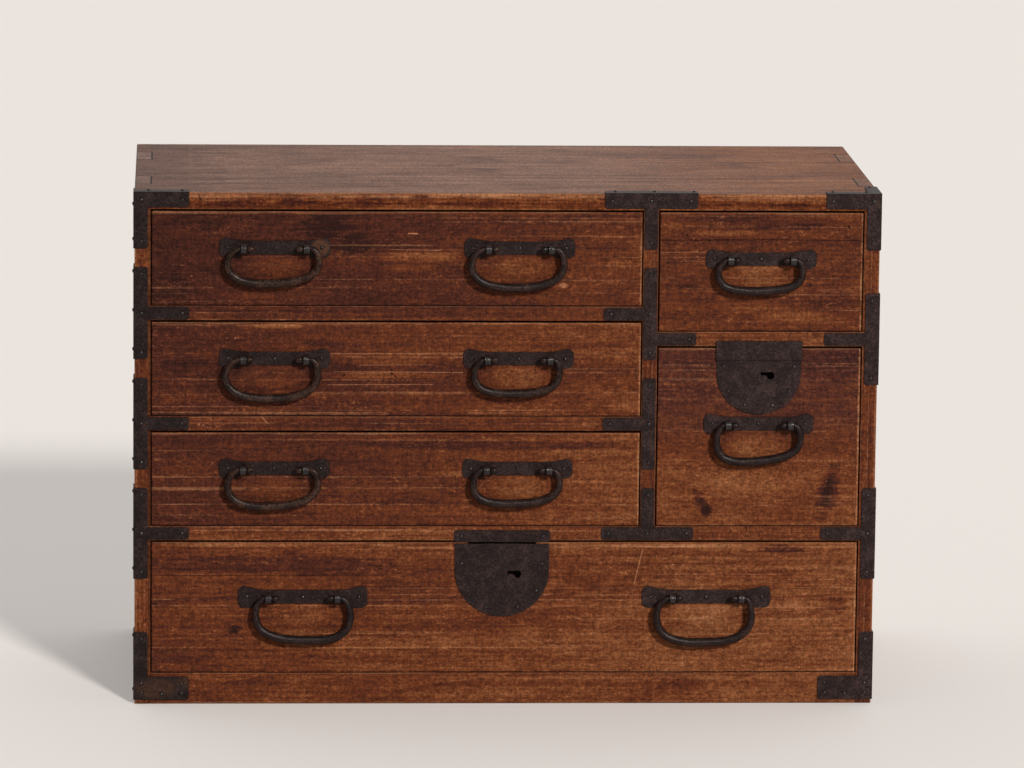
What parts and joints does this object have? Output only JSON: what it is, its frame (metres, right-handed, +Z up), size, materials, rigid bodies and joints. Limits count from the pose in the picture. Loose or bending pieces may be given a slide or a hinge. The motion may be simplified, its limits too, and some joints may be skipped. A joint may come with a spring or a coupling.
{
  "type": "small tansu chest",
  "caption": "Low wooden chest of sliding drawers beside a centre upright, with iron corner straps, swinging bail handles and locks with rising bolts.",
  "frame": {"origin": "on the floor, in the middle of the whole chest's box with its handles", "axes": "+X to the right of someone facing the drawers, +Y towards the back, +Z up"},
  "size_m": [0.6102, 0.3111, 0.4251],
  "materials": {
    "carcass_wood": "aged, rubbed lacquer",
    "front_wood": "aged, rubbed lacquer",
    "plain_wood": "bare, dusty",
    "strap_iron": "forged, dark, a little rust",
    "bail_iron": "forged, worn",
    "lock_iron": "forged, dark",
    "nail_iron": "forged, dark"
  },
  "bodies": {
    "carcass": {"left_side": "carcass_wood", "right_side": "carcass_wood", "top_board": "carcass_wood", "bottom_board": "plain_wood", "base_rails": "carcass_wood", "back_boards": "plain_wood", "long_shelf": "carcass_wood", "left_shelves": "carcass_wood", "right_shelf": "carcass_wood", "centre_upright": "carcass_wood", "corner_irons": "strap_iron", "edge_irons": "strap_iron", "centre_irons": "strap_iron", "bottom_lock_strike": "lock_iron", "carcass_nails": "nail_iron"},
    "upper_left_drawer": {"upper_left_drawer_front": "front_wood", "upper_left_drawer_walls": "plain_wood", "upper_left_drawer_floor": "plain_wood", "upper_left_drawer_handle_plates": "strap_iron", "upper_left_drawer_fixings": "strap_iron"},
    "middle_left_drawer": {"middle_left_drawer_front": "front_wood", "middle_left_drawer_walls": "plain_wood", "middle_left_drawer_floor": "plain_wood", "middle_left_drawer_handle_plates": "strap_iron", "middle_left_drawer_fixings": "strap_iron"},
    "lower_left_drawer": {"lower_left_drawer_front": "front_wood", "lower_left_drawer_walls": "plain_wood", "lower_left_drawer_floor": "plain_wood", "lower_left_drawer_handle_plates": "strap_iron", "lower_left_drawer_fixings": "strap_iron"},
    "upper_right_drawer": {"upper_right_drawer_front": "front_wood", "upper_right_drawer_walls": "plain_wood", "upper_right_drawer_floor": "plain_wood", "upper_right_drawer_handle_plates": "strap_iron", "upper_right_drawer_fixings": "strap_iron"},
    "safe_drawer": {"safe_drawer_front": "front_wood", "safe_drawer_walls": "plain_wood", "safe_drawer_floor": "plain_wood", "safe_drawer_handle_plates": "strap_iron", "safe_drawer_fixings": "strap_iron", "safe_lock_plate": "lock_iron"},
    "bottom_drawer": {"bottom_drawer_front": "front_wood", "bottom_drawer_walls": "plain_wood", "bottom_drawer_floor": "plain_wood", "bottom_drawer_handle_plates": "strap_iron", "bottom_drawer_fixings": "strap_iron", "bottom_lock_plate": "lock_iron"},
    "upper_left_drawer_bail_left": {"upper_left_drawer_bail_left": "bail_iron"},
    "upper_left_drawer_bail_right": {"upper_left_drawer_bail_right": "bail_iron"},
    "middle_left_drawer_bail_left": {"middle_left_drawer_bail_left": "bail_iron"},
    "middle_left_drawer_bail_right": {"middle_left_drawer_bail_right": "bail_iron"},
    "lower_left_drawer_bail_left": {"lower_left_drawer_bail_left": "bail_iron"},
    "lower_left_drawer_bail_right": {"lower_left_drawer_bail_right": "bail_iron"},
    "upper_right_drawer_bail": {"upper_right_drawer_bail": "bail_iron"},
    "safe_drawer_bail": {"safe_drawer_bail": "bail_iron"},
    "bottom_drawer_bail_left": {"bottom_drawer_bail_left": "bail_iron"},
    "bottom_drawer_bail_right": {"bottom_drawer_bail_right": "bail_iron"},
    "bottom_lock_bolt": {"bottom_lock_bolt": "lock_iron"},
    "safe_lock_bolt": {"safe_lock_bolt": "lock_iron"}
  },
  "joints": [
    {"name": "upper_left_drawer_slide", "type": "slide", "parent": "carcass", "child": "upper_left_drawer", "axis": [0, -1, 0], "range_m": [0, 0.24]},
    {"name": "middle_left_drawer_slide", "type": "slide", "parent": "carcass", "child": "middle_left_drawer", "axis": [0, -1, 0], "range_m": [0, 0.24]},
    {"name": "lower_left_drawer_slide", "type": "slide", "parent": "carcass", "child": "lower_left_drawer", "axis": [0, -1, 0], "range_m": [0, 0.24]},
    {"name": "upper_right_drawer_slide", "type": "slide", "parent": "carcass", "child": "upper_right_drawer", "axis": [0, -1, 0], "range_m": [0, 0.24]},
    {"name": "safe_drawer_slide", "type": "slide", "parent": "carcass", "child": "safe_drawer", "axis": [0, -1, 0], "range_m": [0, 0.24]},
    {"name": "bottom_drawer_slide", "type": "slide", "parent": "carcass", "child": "bottom_drawer", "axis": [0, -1, 0], "range_m": [0, 0.24]},
    {"name": "upper_left_drawer_bail_left_hinge", "type": "hinge", "parent": "upper_left_drawer", "child": "upper_left_drawer_bail_left", "pos_m": [-0.18925, -0.15045, 0.3785], "axis": [-1, 0, 0], "range_deg": [-4, 172]},
    {"name": "upper_left_drawer_bail_right_hinge", "type": "hinge", "parent": "upper_left_drawer", "child": "upper_left_drawer_bail_right", "pos_m": [0.00925, -0.15045, 0.3785], "axis": [-1, 0, 0], "range_deg": [-4, 172]},
    {"name": "middle_left_drawer_bail_left_hinge", "type": "hinge", "parent": "middle_left_drawer", "child": "middle_left_drawer_bail_left", "pos_m": [-0.18925, -0.15045, 0.2875], "axis": [-1, 0, 0], "range_deg": [-4, 172]},
    {"name": "middle_left_drawer_bail_right_hinge", "type": "hinge", "parent": "middle_left_drawer", "child": "middle_left_drawer_bail_right", "pos_m": [0.00925, -0.15045, 0.2875], "axis": [-1, 0, 0], "range_deg": [-4, 172]},
    {"name": "lower_left_drawer_bail_left_hinge", "type": "hinge", "parent": "lower_left_drawer", "child": "lower_left_drawer_bail_left", "pos_m": [-0.18925, -0.15045, 0.1965], "axis": [-1, 0, 0], "range_deg": [-4, 172]},
    {"name": "lower_left_drawer_bail_right_hinge", "type": "hinge", "parent": "lower_left_drawer", "child": "lower_left_drawer_bail_right", "pos_m": [0.00925, -0.15045, 0.1965], "axis": [-1, 0, 0], "range_deg": [-4, 172]},
    {"name": "upper_right_drawer_bail_hinge", "type": "hinge", "parent": "upper_right_drawer", "child": "upper_right_drawer_bail", "pos_m": [0.20625, -0.15045, 0.37], "axis": [-1, 0, 0], "range_deg": [-4, 172]},
    {"name": "safe_drawer_bail_hinge", "type": "hinge", "parent": "safe_drawer", "child": "safe_drawer_bail", "pos_m": [0.20625, -0.15045, 0.2339], "axis": [-1, 0, 0], "range_deg": [-4, 172]},
    {"name": "bottom_drawer_bail_left_hinge", "type": "hinge", "parent": "bottom_drawer", "child": "bottom_drawer_bail_left", "pos_m": [-0.1655, -0.15045, 0.0897], "axis": [-1, 0, 0], "range_deg": [-4, 172]},
    {"name": "bottom_drawer_bail_right_hinge", "type": "hinge", "parent": "bottom_drawer", "child": "bottom_drawer_bail_right", "pos_m": [0.1655, -0.15045, 0.0897], "axis": [-1, 0, 0], "range_deg": [-4, 172]},
    {"name": "bottom_lock_bolt_slide", "type": "slide", "parent": "bottom_drawer", "child": "bottom_lock_bolt", "axis": [0, 0, 1], "range_m": [0, 0.0075]},
    {"name": "safe_lock_bolt_slide", "type": "slide", "parent": "safe_drawer", "child": "safe_lock_bolt", "axis": [0, 0, 1], "range_m": [0, 0.0075]}
  ]
}
